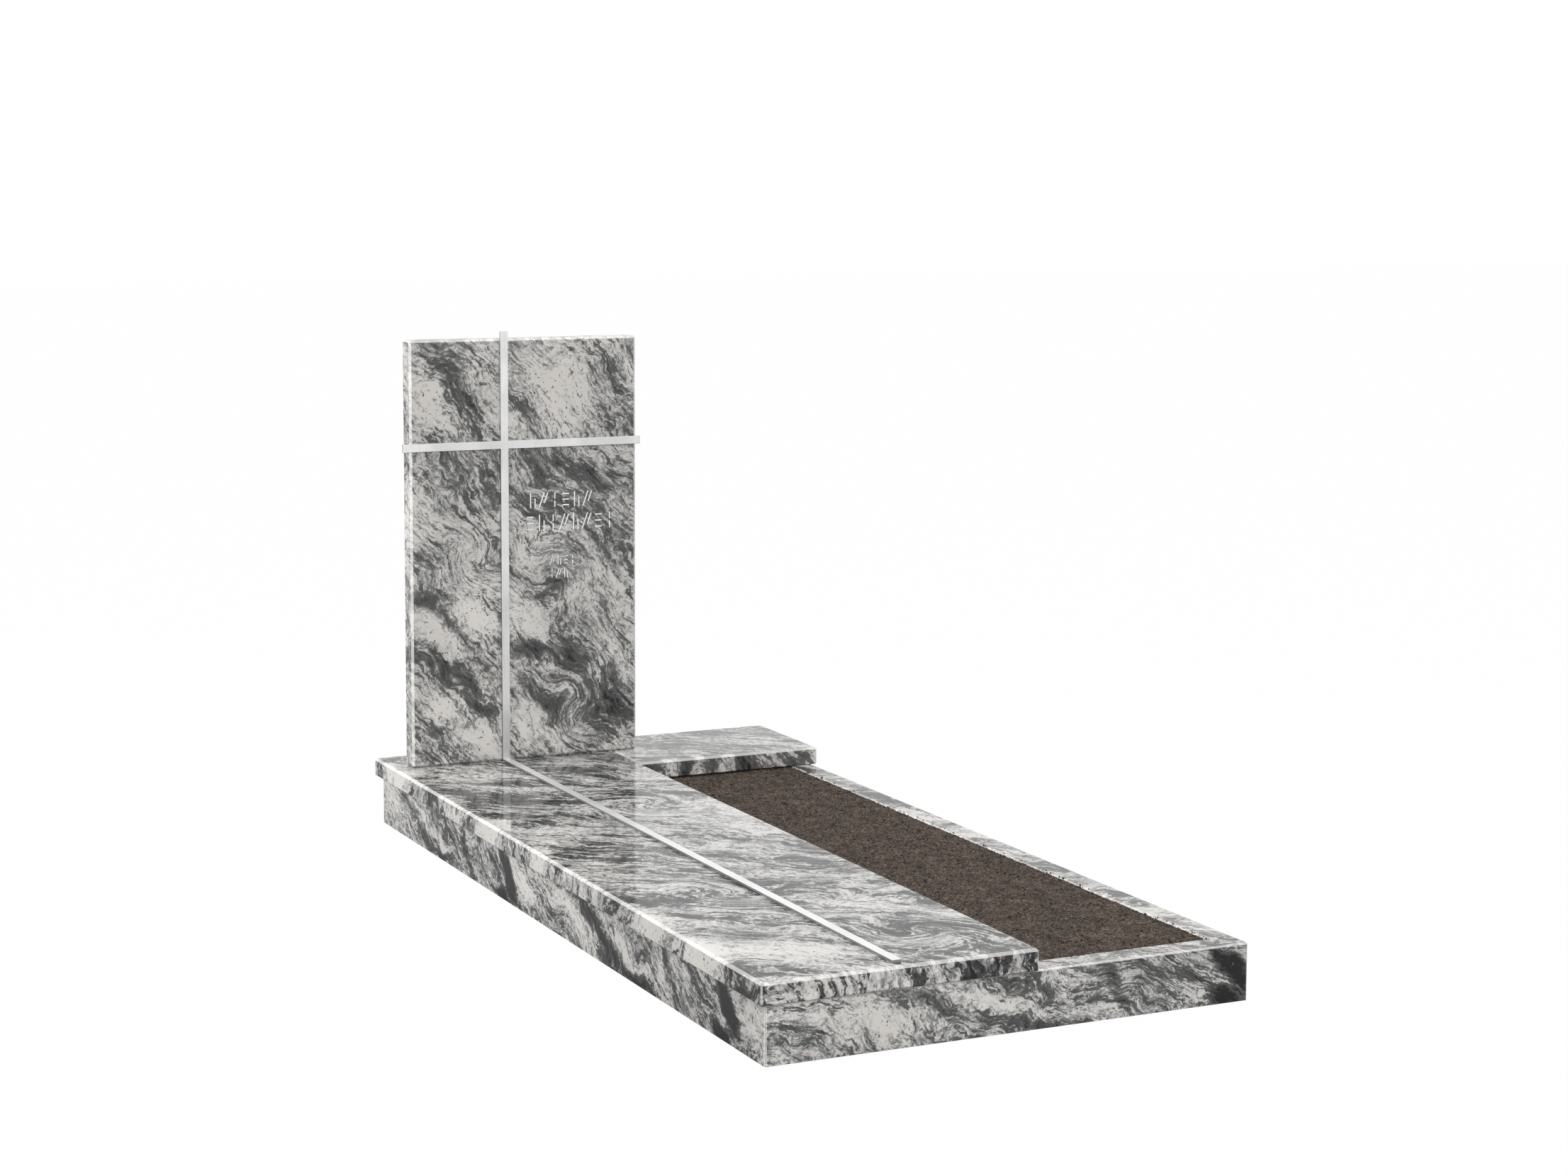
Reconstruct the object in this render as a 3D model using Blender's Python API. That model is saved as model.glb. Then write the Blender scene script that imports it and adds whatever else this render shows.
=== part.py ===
"""A single-grave monument: kerb surround, two cover slabs, a headstone with a flat metal cross, and a soil bed.

Metres, +Z up. The front faces -Y. The origin is at the middle of the monument's footprint, on the ground.
"""

import math

import bmesh
import bpy
from mathutils import Matrix, Vector

# Kerb surround, measured over its outer faces
SURROUND_WIDTH = 1.000
SURROUND_LENGTH = 2.100
KERB_HEIGHT = 0.110
KERB_WIDTH = 0.055
KERB_CHAMFER = 0.003

# Cover slabs, which lie on the kerbs and stand out over them
SLAB_THICKNESS = 0.042
SIDE_OVERHANG = 0.012
FRONT_OVERHANG = 0.010
BACK_OVERHANG = 0.025
LEDGER_WIDTH = 0.554
BACK_SLAB_DEPTH = 0.315
TOP_CHAMFER = 0.005
SMALL_CHAMFER_SHARE = 0.5

# Headstone, which stands on the ledger slab
HEADSTONE_WIDTH = 0.570
HEADSTONE_HEIGHT = 1.005
HEADSTONE_THICKNESS = 0.050
HEADSTONE_SIDE_MARGIN = 0.042
HEADSTONE_BACK_MARGIN = 0.108
HEADSTONE_CHAMFER = 0.005

# Flat metal cross on the headstone, and the bar of the same section on the ledger slab
BAR_WIDTH = 0.019
BAR_THICKNESS = 0.006
BAR_CHAMFER = 0.0006
UPRIGHT_FROM_LEFT = 0.2325
UPRIGHT_RISE = 0.017
ARM_HEIGHT = 0.755
ARM_LEFT_OVERHANG = 0.019
ARM_RIGHT_OVERHANG = 0.009
BAR_FRONT_MARGIN = 0.020

# Rows of plain strokes in the inscription's place: middle from the headstone's left side, middle above
# the ledger slab, height, width of the row, and the order of stroke groups
STROKE_WIDTH = 0.0032
STROKE_DEPTH = 0.0012
STROKE_ROWS = [
    {"middle": 0.375, "above": 0.619, "height": 0.037, "width": 0.168, "groups": "uspdus"},
    {"middle": 0.400, "above": 0.565, "height": 0.040, "width": 0.232, "groups": "dupsusdp"},
    {"middle": 0.3805, "above": 0.474, "height": 0.024, "width": 0.068, "groups": "sudp"},
    {"middle": 0.371, "above": 0.443, "height": 0.024, "width": 0.054, "groups": "psu"},
]
SMALL_ROW_HEIGHT = 0.030
SMALL_ROW_STROKE = 0.0024

# Soil, and the clearance that keeps touching faces apart
SOIL_DROP = 0.003
TOUCH_GAP = 0.0003

MITRE_GAP = TOUCH_GAP / 2**0.5
CENTRE_Y = (FRONT_OVERHANG - BACK_OVERHANG) / 2
FRONT_Y = CENTRE_Y - SURROUND_LENGTH / 2
BACK_Y = CENTRE_Y + SURROUND_LENGTH / 2
LEFT_X = -SURROUND_WIDTH / 2
RIGHT_X = SURROUND_WIDTH / 2
SLAB_BOTTOM = KERB_HEIGHT + TOUCH_GAP
SLAB_TOP = SLAB_BOTTOM + SLAB_THICKNESS
LEDGER_LEFT = LEFT_X - SIDE_OVERHANG
LEDGER_RIGHT = LEDGER_LEFT + LEDGER_WIDTH
LEDGER_FRONT = FRONT_Y - FRONT_OVERHANG
LEDGER_BACK = BACK_Y + BACK_OVERHANG
STONE_LEFT = LEDGER_LEFT + HEADSTONE_SIDE_MARGIN
STONE_RIGHT = STONE_LEFT + HEADSTONE_WIDTH
STONE_BACK = LEDGER_BACK - HEADSTONE_BACK_MARGIN
STONE_FRONT = STONE_BACK - HEADSTONE_THICKNESS
STONE_BOTTOM = SLAB_TOP + TOUCH_GAP
STONE_TOP = STONE_BOTTOM + HEADSTONE_HEIGHT
UPRIGHT_X = STONE_LEFT + UPRIGHT_FROM_LEFT
CROSS_BACK = STONE_FRONT - TOUCH_GAP
CROSS_FRONT = CROSS_BACK - BAR_THICKNESS


def clear_scene():
    for item in list(bpy.data.objects):
        bpy.data.objects.remove(item, do_unlink=True)


def make_material(name, colour, roughness, metallic=0.0):
    material = bpy.data.materials.new(name)
    material.use_nodes = True
    shader = material.node_tree.nodes["Principled BSDF"]
    shader.inputs["Base Color"].default_value = (*colour, 1.0)
    shader.inputs["Roughness"].default_value = roughness
    shader.inputs["Metallic"].default_value = metallic
    material.diffuse_color = (*colour, 1.0)
    return material


def add_object(name, bm, material):
    mesh = bpy.data.meshes.new(name)
    bmesh.ops.recalc_face_normals(bm, faces=bm.faces)
    bm.to_mesh(mesh)
    bm.free()
    item = bpy.data.objects.new(name, mesh)
    item.data.materials.append(material)
    bpy.context.collection.objects.link(item)
    return item


def box_mesh(low, high):
    """A closed box of the size between two corners, drawn about its own middle."""
    bm = bmesh.new()
    bmesh.ops.create_cube(bm, size=1.0)
    size = Vector(high) - Vector(low)
    bmesh.ops.scale(bm, vec=size, verts=bm.verts)
    return bm


def add_box(name, low, high, material, chamfer, weight=None):
    """A box with chamfered edges. weight gives each edge's share of the chamfer, or 1 everywhere."""
    item = add_object(name, box_mesh(low, high), material)
    item.location = (Vector(low) + Vector(high)) / 2
    if weight is not None:
        shares = item.data.attributes.new("bevel_weight_edge", "FLOAT", "EDGE")
        half_height = (high[2] - low[2]) / 2
        for edge in item.data.edges:
            at_top = all(item.data.vertices[v].co.z > half_height * 0.9 for v in edge.vertices)
            shares.data[edge.index].value = 1.0 if at_top else weight
    bevel = item.modifiers.new("Chamfer", "BEVEL")
    bevel.width = chamfer
    bevel.segments = 1
    bevel.limit_method = "WEIGHT" if weight is not None else "NONE"
    return item


def extrude_outline(outline, height):
    """Raises a closed flat outline into a prism."""
    bm = bmesh.new()
    face = bm.faces.new([bm.verts.new((x, y, 0.0)) for x, y in outline])
    raised = bmesh.ops.extrude_face_region(bm, geom=[face])
    top = [v for v in raised["geom"] if isinstance(v, bmesh.types.BMVert)]
    bmesh.ops.translate(bm, verts=top, vec=(0.0, 0.0, height))
    return bm


def add_kerb(name, outer_length, middle, turn, material):
    """A kerb stone mitred at both ends. It is drawn along X with its outer face at y = 0, then turned."""
    half = outer_length / 2 - MITRE_GAP
    corner = KERB_CHAMFER
    outline = [
        (-half + corner, 0.0),
        (half - corner, 0.0),
        (half - corner / 2, corner / 2),
        (half - KERB_WIDTH, KERB_WIDTH),
        (-half + KERB_WIDTH, KERB_WIDTH),
        (-half + corner / 2, corner / 2),
    ]
    bm = extrude_outline(outline, KERB_HEIGHT)
    mitre_reach = KERB_WIDTH * 0.9
    arrises = []
    for edge in bm.edges:
        a, b = (v.co for v in edge.verts)
        at_top = min(a.z, b.z) > KERB_HEIGHT / 2
        along_mitre = abs(a.y - b.y) > mitre_reach - corner
        if at_top and not along_mitre:
            arrises.append(edge)
    bmesh.ops.bevel(
        bm, geom=arrises, offset=KERB_CHAMFER, offset_type="OFFSET", segments=1, profile=0.5,
        affect="EDGES", material=-1,
    )
    item = add_object(name, bm, material)
    item.matrix_world = Matrix.Translation(middle) @ Matrix.Rotation(turn, 4, "Z")
    return item


def stroke_group(kind, height, width):
    """Plain strokes of one group, each as its middle x, middle z, length and lean from upright."""
    if kind == "u":  # a tall and a short upright, side by side
        return [(-width * 0.2, 0.0, height, 0.0), (width * 0.2, -height * 0.18, height * 0.64, 0.0)]
    if kind == "s":  # two slanted strokes, one after the other
        return [(-width * 0.2, 0.0, height * 1.04, 0.35), (width * 0.2, height * 0.14, height * 0.7, 0.35)]
    if kind == "d":  # three level dashes, one above the other
        level = math.pi / 2
        return [(0.0, step * height * 0.36, width * 0.62, level) for step in (-1, 0, 1)]
    return [(0.0, height * 0.27, height * 0.42, 0.0), (0.0, -height * 0.27, height * 0.42, 0.0)]


def add_stroke_cutter():
    """All the inscription's strokes as thin blocks that stand through the headstone's front face."""
    bm = bmesh.new()
    for row in STROKE_ROWS:
        pitch = row["width"] / len(row["groups"])
        thick = STROKE_WIDTH if row["height"] > SMALL_ROW_HEIGHT else SMALL_ROW_STROKE
        start = STONE_LEFT + row["middle"] - row["width"] / 2 + pitch / 2
        for index, kind in enumerate(row["groups"]):
            group_x = start + index * pitch
            for x, z, length, lean in stroke_group(kind, row["height"], pitch):
                place = Matrix.Translation((group_x + x, STONE_FRONT, SLAB_TOP + row["above"] + z))
                size = Matrix.Diagonal((thick, 2 * STROKE_DEPTH, length, 1.0))
                bmesh.ops.create_cube(bm, size=1.0, matrix=place @ Matrix.Rotation(lean, 4, "Y") @ size)
    mesh = bpy.data.meshes.new("stroke_cutter")
    bm.to_mesh(mesh)
    bm.free()
    cutter = bpy.data.objects.new("stroke_cutter", mesh)
    bpy.context.collection.objects.link(cutter)
    cutter.hide_render = True
    cutter.display_type = "WIRE"
    return cutter


def add_surround(material):
    middle_x = (LEFT_X + RIGHT_X) / 2
    add_kerb("kerb_front", SURROUND_WIDTH, (middle_x, FRONT_Y, 0.0), 0.0, material)
    add_kerb("kerb_back", SURROUND_WIDTH, (middle_x, BACK_Y, 0.0), math.pi, material)
    add_kerb("kerb_right", SURROUND_LENGTH, (RIGHT_X, CENTRE_Y, 0.0), math.pi / 2, material)
    add_kerb("kerb_left", SURROUND_LENGTH, (LEFT_X, CENTRE_Y, 0.0), -math.pi / 2, material)


def add_slabs(material):
    add_box(
        "ledger_slab",
        (LEDGER_LEFT, LEDGER_FRONT, SLAB_BOTTOM),
        (LEDGER_RIGHT, LEDGER_BACK, SLAB_TOP),
        material,
        TOP_CHAMFER,
        SMALL_CHAMFER_SHARE,
    )
    add_box(
        "back_slab",
        (LEDGER_RIGHT + TOUCH_GAP, LEDGER_BACK - BACK_SLAB_DEPTH, SLAB_BOTTOM),
        (RIGHT_X + SIDE_OVERHANG, LEDGER_BACK, SLAB_TOP),
        material,
        TOP_CHAMFER,
        SMALL_CHAMFER_SHARE,
    )


def add_headstone(material):
    stone = add_box(
        "headstone",
        (STONE_LEFT, STONE_FRONT, STONE_BOTTOM),
        (STONE_RIGHT, STONE_BACK, STONE_TOP),
        material,
        HEADSTONE_CHAMFER,
    )
    cut = stone.modifiers.new("Strokes", "BOOLEAN")
    cut.operation = "DIFFERENCE"
    cut.solver = "EXACT"
    cut.object = add_stroke_cutter()


def add_cross(material):
    """Upright and arm in one plane, drawn as one outline and given the bar's thickness."""
    half = BAR_WIDTH / 2
    arm_z = SLAB_TOP + ARM_HEIGHT
    left, right = STONE_LEFT - ARM_LEFT_OVERHANG, STONE_RIGHT + ARM_RIGHT_OVERHANG
    foot, head = SLAB_TOP + TOUCH_GAP, STONE_TOP + UPRIGHT_RISE
    outline = [
        (UPRIGHT_X - half, foot),
        (UPRIGHT_X + half, foot),
        (UPRIGHT_X + half, arm_z - half),
        (right, arm_z - half),
        (right, arm_z + half),
        (UPRIGHT_X + half, arm_z + half),
        (UPRIGHT_X + half, head),
        (UPRIGHT_X - half, head),
        (UPRIGHT_X - half, arm_z + half),
        (left, arm_z + half),
        (left, arm_z - half),
        (UPRIGHT_X - half, arm_z - half),
    ]
    middle = Vector((UPRIGHT_X, arm_z))
    bm = extrude_outline([Vector(point) - middle for point in outline], BAR_THICKNESS)
    bmesh.ops.rotate(bm, verts=bm.verts, matrix=Matrix.Rotation(math.pi / 2, 3, "X"))
    cross = add_object("cross", bm, material)
    cross.location = (UPRIGHT_X, CROSS_BACK, arm_z)
    bevel = cross.modifiers.new("Eased edges", "BEVEL")
    bevel.width = BAR_CHAMFER
    bevel.segments = 1
    bevel.limit_method = "ANGLE"


def add_ledger_bar(material):
    half = BAR_WIDTH / 2
    bottom = SLAB_TOP + TOUCH_GAP
    add_box(
        "ledger_bar",
        (UPRIGHT_X - half, LEDGER_FRONT + BAR_FRONT_MARGIN, bottom),
        (UPRIGHT_X + half, CROSS_FRONT - TOUCH_GAP, bottom + BAR_THICKNESS),
        material,
        BAR_CHAMFER,
    )


def add_soil(material):
    inset = KERB_WIDTH + TOUCH_GAP
    low = Vector((LEFT_X + inset, FRONT_Y + inset, 0.0))
    high = Vector((RIGHT_X - inset, BACK_Y - inset, KERB_HEIGHT - SOIL_DROP))
    soil = add_object("soil_bed", box_mesh(low, high), material)
    soil.location = (low + high) / 2


def main():
    clear_scene()
    kerb_stone = make_material("kerb granite", (0.42, 0.41, 0.40), 0.25)
    slab_stone = make_material("slab granite", (0.52, 0.51, 0.50), 0.10)
    head_stone = make_material("headstone granite", (0.36, 0.36, 0.35), 0.15)
    metal = make_material("brushed metal", (0.72, 0.72, 0.72), 0.35, 1.0)
    earth = make_material("planting soil", (0.07, 0.055, 0.045), 0.95)
    add_surround(kerb_stone)
    add_slabs(slab_stone)
    add_headstone(head_stone)
    add_cross(metal)
    add_ledger_bar(metal)
    add_soil(earth)


main()
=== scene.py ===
import math
import random

import bmesh
import bpy
from mathutils import Matrix, Vector, noise


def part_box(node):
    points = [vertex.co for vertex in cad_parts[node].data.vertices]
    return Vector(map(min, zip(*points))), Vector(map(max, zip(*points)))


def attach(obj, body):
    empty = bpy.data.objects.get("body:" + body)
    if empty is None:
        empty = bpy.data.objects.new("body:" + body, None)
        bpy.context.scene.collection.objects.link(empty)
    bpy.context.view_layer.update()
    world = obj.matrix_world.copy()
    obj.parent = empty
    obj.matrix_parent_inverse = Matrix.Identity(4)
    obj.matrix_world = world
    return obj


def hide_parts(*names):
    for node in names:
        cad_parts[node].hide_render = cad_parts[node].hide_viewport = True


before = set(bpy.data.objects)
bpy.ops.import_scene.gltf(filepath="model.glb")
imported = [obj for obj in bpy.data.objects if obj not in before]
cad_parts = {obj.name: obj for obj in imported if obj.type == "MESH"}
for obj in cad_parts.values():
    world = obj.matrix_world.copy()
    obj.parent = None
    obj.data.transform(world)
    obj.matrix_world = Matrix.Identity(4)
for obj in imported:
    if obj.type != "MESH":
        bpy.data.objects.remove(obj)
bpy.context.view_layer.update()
print("frame loaded:", ", ".join(sorted(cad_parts)))


# Camera, floor and light

cameraView = {
    "place": (-2.5914, -5.3931, 1.5132),
    "turnRight": 24.270,  # degrees from +Y
    "tiltDown": 5.5,
    "focalLength": 65.68,  # millimetres
    "sensorWidth": 36.0,
    "shift": (0.0583, -0.0805),
}

studio = {
    "backdrop": (1.0, 1.0, 1.0, 1.0),
    "worldStrength": 0.70,
    "polishStrength": 0.88,  # as the polished faces mirror it
    "floorColour": (0.30, 0.30, 0.30, 1.0),  # as the stones see it, so that little light comes from below
    "floorWhiteness": 0.98,  # as the camera sees it, with a trace of shadow left
    "floorGlow": 1.01,
    "floorRoughness": 0.9,
    "floorHalf": 40.0,
    "floorDrop": 0.0005,
}

# name, place, aim, size, power, and whether the polish mirrors it: a lamp's outline would hide the pattern
softLights = [
    ("keyLight", (-3.3, 1.5, 1.7), (-0.4, 0.8, 0.6), 2.2, 104.0, False),
    ("topLight", (0.9, 0.1, 5.0), (0.0, 0.0, 0.0), 3.4, 75.0, False),
    ("fillLight", (-1.2, -6.5, 3.2), (-0.1, 0.0, 0.4), 3.0, 274.0, True),
]


def addCamera(view):
    lens = bpy.data.cameras.new("photoCamera")
    lens.lens = view["focalLength"]
    lens.sensor_width = view["sensorWidth"]
    lens.shift_x, lens.shift_y = view["shift"]
    camera = bpy.data.objects.new("photoCamera", lens)
    bpy.context.scene.collection.objects.link(camera)
    camera.location = view["place"]
    camera.rotation_euler = (math.radians(90.0 - view["tiltDown"]), 0.0, -math.radians(view["turnRight"]))
    bpy.context.scene.camera = camera


def addSoftLight(name, place, aim, size, power, mirrored):
    light = bpy.data.lights.new(name, "AREA")
    light.shape = "SQUARE"
    light.size = size
    light.energy = power
    item = bpy.data.objects.new(name, light)
    bpy.context.scene.collection.objects.link(item)
    item.location = place
    item.visible_glossy = mirrored
    direction = Vector(aim) - item.location
    item.rotation_euler = direction.to_track_quat("-Z", "Y").to_euler()


def mixByRay(tree, rayKind, otherwise, forThatRay):
    ray = tree.nodes.new("ShaderNodeLightPath")
    mix = tree.nodes.new("ShaderNodeMixShader")
    tree.links.new(ray.outputs[rayKind], mix.inputs[0])
    tree.links.new(otherwise, mix.inputs[1])
    tree.links.new(forThatRay, mix.inputs[2])
    return mix.outputs[0]


def addBackdrop(values):
    # white to the camera, whatever light the stones get from it
    world = bpy.data.worlds.new("paleStudio")
    world.use_nodes = True
    tree = world.node_tree
    lighting = tree.nodes["Background"]
    lighting.inputs["Strength"].default_value = values["worldStrength"]
    mirrored = tree.nodes.new("ShaderNodeBackground")
    mirrored.inputs["Strength"].default_value = values["polishStrength"]
    white = tree.nodes.new("ShaderNodeBackground")
    for background in (lighting, mirrored, white):
        background.inputs["Color"].default_value = values["backdrop"]
    forStones = mixByRay(tree, "Is Glossy Ray", lighting.outputs[0], mirrored.outputs[0])
    shown = mixByRay(tree, "Is Camera Ray", forStones, white.outputs[0])
    tree.links.new(shown, tree.nodes["World Output"].inputs["Surface"])
    bpy.context.scene.world = world


def meshObject(name, bm):
    mesh = bpy.data.meshes.new(name)
    bm.to_mesh(mesh)
    bm.free()
    item = bpy.data.objects.new(name, mesh)
    bpy.context.scene.collection.objects.link(item)
    return item


def addFloor(values):
    bm = bmesh.new()
    bmesh.ops.create_grid(bm, x_segments=1, y_segments=1, size=values["floorHalf"])
    bmesh.ops.translate(bm, verts=bm.verts, vec=(0.0, 0.0, -values["floorDrop"]))
    floor = meshObject("studioFloor", bm)
    pale = bpy.data.materials.new("palePaper")
    pale.use_nodes = True
    tree = pale.node_tree
    shader = tree.nodes["Principled BSDF"]
    shader.inputs["Base Color"].default_value = values["floorColour"]
    shader.inputs["Roughness"].default_value = values["floorRoughness"]
    shader.inputs["Specular IOR Level"].default_value = 0.0
    white = tree.nodes.new("ShaderNodeEmission")
    white.inputs["Color"].default_value = values["backdrop"]
    white.inputs["Strength"].default_value = values["floorGlow"]
    shown = tree.nodes.new("ShaderNodeMixShader")
    shown.inputs[0].default_value = values["floorWhiteness"]
    tree.links.new(shader.outputs[0], shown.inputs[1])
    tree.links.new(white.outputs[0], shown.inputs[2])
    paper = mixByRay(tree, "Is Camera Ray", shader.outputs[0], shown.outputs[0])
    tree.links.new(paper, tree.nodes["Material Output"].inputs["Surface"])
    floor.data.materials.append(pale)


addCamera(cameraView)
addBackdrop(studio)
for softLight in softLights:
    addSoftLight(*softLight)
addFloor(studio)
bpy.context.scene.view_settings.view_transform = "Standard"
print("camera and studio ready")


# Small helpers for building materials

def setInput(tree, socket, value):
    if isinstance(value, bpy.types.NodeSocket):
        tree.links.new(value, socket)
    else:
        socket.default_value = value


def addNode(tree, kind, inputs=None, **settings):
    node = tree.nodes.new(kind)
    for name, value in settings.items():
        setattr(node, name, value)
    for name, value in (inputs or {}).items():
        setInput(tree, node.inputs[name], value)
    return node


def addMath(tree, operation, first, second=0.5, third=None):
    inputs = {0: first, 1: second}
    if third is not None:
        inputs[2] = third
    return addNode(tree, "ShaderNodeMath", inputs, operation=operation).outputs[0]


def addNoise(tree, vector, scale, detail, roughness, output="Fac"):
    inputs = {"Vector": vector, "Scale": scale, "Detail": detail, "Roughness": roughness}
    return addNode(tree, "ShaderNodeTexNoise", inputs).outputs[output]


def addRange(tree, value, low, high, toLow=0.0, toHigh=1.0):
    inputs = {"Value": value, "From Min": low, "From Max": high, "To Min": toLow, "To Max": toHigh}
    return addNode(tree, "ShaderNodeMapRange", inputs, interpolation_type="SMOOTHSTEP").outputs["Result"]


def addMix(tree, factor, first, second, blend="MIX"):
    node = addNode(tree, "ShaderNodeMix", data_type="RGBA", blend_type=blend)
    for index, value in ((0, factor), (6, first), (7, second)):  # the colour sockets of the Mix node
        setInput(tree, node.inputs[index], value)
    return node.outputs[2]


def addRamp(tree, value, stops):
    node = addNode(tree, "ShaderNodeValToRGB", {"Fac": value})
    ramp = node.color_ramp
    while len(ramp.elements) < len(stops):
        ramp.elements.new(0.5)
    for element, (place, colour) in zip(ramp.elements, stops):
        element.position = place
        element.color = (*colour, 1.0)
    return node.outputs["Color"]


def startGroup(name, inputs, outputs):
    tree = bpy.data.node_groups.new(name, "ShaderNodeTree")
    for label, kind in inputs:
        tree.interface.new_socket(name=label, in_out="INPUT", socket_type=kind)
    for label, kind in outputs:
        tree.interface.new_socket(name=label, in_out="OUTPUT", socket_type=kind)
    return tree, tree.nodes.new("NodeGroupInput"), tree.nodes.new("NodeGroupOutput")


def addGroup(tree, group, inputs):
    node = tree.nodes.new("ShaderNodeGroup")
    node.node_tree = group
    for name, value in inputs.items():
        setInput(tree, node.inputs[name], value)
    return node


def startMaterial(name):
    material = bpy.data.materials.new(name)
    material.use_nodes = True
    tree = material.node_tree
    place = tree.nodes.new("ShaderNodeTexCoord").outputs["Object"]
    return material, tree, tree.nodes["Principled BSDF"], place


# Granite: pale cream grey with folded layers of dark mica, in grains of a few millimetres

graniteTones = {
    "cream": (0.605, 0.585, 0.558),
    "paleGrey": (0.480, 0.473, 0.460),
    "ashGrey": (0.300, 0.298, 0.290),
    "midGrey": (0.175, 0.175, 0.171),
    "veinGrey": (0.125, 0.125, 0.122),
    "darkGrey": (0.098, 0.098, 0.096),
    "slate": (0.060, 0.060, 0.060),
    "charcoal": (0.018, 0.018, 0.019),
    "pink": (0.40, 0.24, 0.20, 1.0),
}

foldSizes = {  # scale per metre, reach in metres, detail
    "wide": (3.4, 0.150, 1.0),
    "middle": (13.0, 0.060, 3.0),
    "fine": (48.0, 0.009, 3.0),
}
foldRoughness = 0.55


def addFold(tree, place, scale, reach, detail):
    colour = addNoise(tree, place, scale, detail, foldRoughness, "Color")
    centred = addNode(tree, "ShaderNodeVectorMath", {0: colour, 1: (0.5, 0.5, 0.5)}, operation="SUBTRACT")
    inputs = {0: centred.outputs[0], "Scale": reach}
    return addNode(tree, "ShaderNodeVectorMath", inputs, operation="SCALE").outputs[0]


def addVectors(tree, first, second):
    return addNode(tree, "ShaderNodeVectorMath", {0: first, 1: second}, operation="ADD").outputs[0]


def makeFoldGroup(sizes):
    # ragged place for the edges of patches, and folded place for the layers
    tree, start, end = startGroup(
        "stoneFolds",
        [("Place", "NodeSocketVector"), ("Offset", "NodeSocketVector")],
        [("Ragged", "NodeSocketVector"), ("Folding", "NodeSocketVector")],
    )
    place = start.outputs["Place"]
    seeded = addVectors(tree, place, start.outputs["Offset"])
    middle = addFold(tree, seeded, *sizes["middle"])
    fine = addFold(tree, seeded, *sizes["fine"])
    wide = addFold(tree, seeded, *sizes["wide"])
    small = addVectors(tree, middle, fine)
    tree.links.new(addVectors(tree, place, small), end.inputs["Ragged"])
    tree.links.new(addVectors(tree, wide, small), end.inputs["Folding"])
    return tree


grainSizes = {  # each noise's scale per metre, detail and roughness
    "broad": (15.0, 6.0, 0.56),
    "streaks": (62.0, 5.0, 0.70),
    "clouds": (9.0, 3.0, 0.5),
    "mottle": (60.0, 4.0, 0.6),
    "dashes": (150.0, 2.0, 0.6),
    "threads": (135.0, 3.0, 0.6),
    "flecks": (120.0, 2.0, 0.7),
    "pinkSpots": (75.0, 1.0, 0.5),
    "drift": (4.0, 1.0, 0.5),
    "crystalScale": 300.0,
    "dashSquash": (1.0, 4.0, 4.0),
    "veins": [(24.0, 0.020, 4.2), (52.0, 0.028, 9.1)],  # scale, width, place in the noise
    "veinDetail": (4.0, 0.55),
}
graniteLevels = {
    "groundStart": 0.545,
    "groundDarkening": 0.62,
    "bandStart": 0.5,
    "bandDarkening": 0.66,
    "bandEdge": (0.560, 0.602),
    "veinFade": (0.42, 0.55),  # between these levels of the ground the veins come in
    "veinStrength": 0.85,
    "crystalTint": 0.04,
    "fleckEdge": (0.64, 0.68),
    "fleckStrength": 0.85,
    "pinkEdge": (0.74, 0.78),
    "pinkPlace": (3.1, 1.7, 5.3),
    "pinkStrength": 0.35,
    "driftEdge": (0.35, 0.65),
    "driftTones": (0.93, 1.05),
}
# how far each texture moves the level that the ground's flecks and the bands' edges are read from
groundPulls = {
    "broad": 0.42,
    "clouds": 0.28,
    "streaks": 0.44,
    "mottle": 0.36,
    "crystal": 0.08,
    "dashes": 0.42,
    "threads": 0.34,
}
bandPulls = {
    "broad": 0.62,
    "streaks": 0.76,
    "mottle": 0.22,
    "crystal": 0.05,
    "dashes": 0.18,
    "threads": 0.62,
}


def pullLevel(tree, textures, pulls, level):
    for name, pull in pulls.items():
        centred = addMath(tree, "SUBTRACT", textures[name], 0.5)
        level = addMath(tree, "MULTIPLY_ADD", centred, pull, level)
    return level


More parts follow.
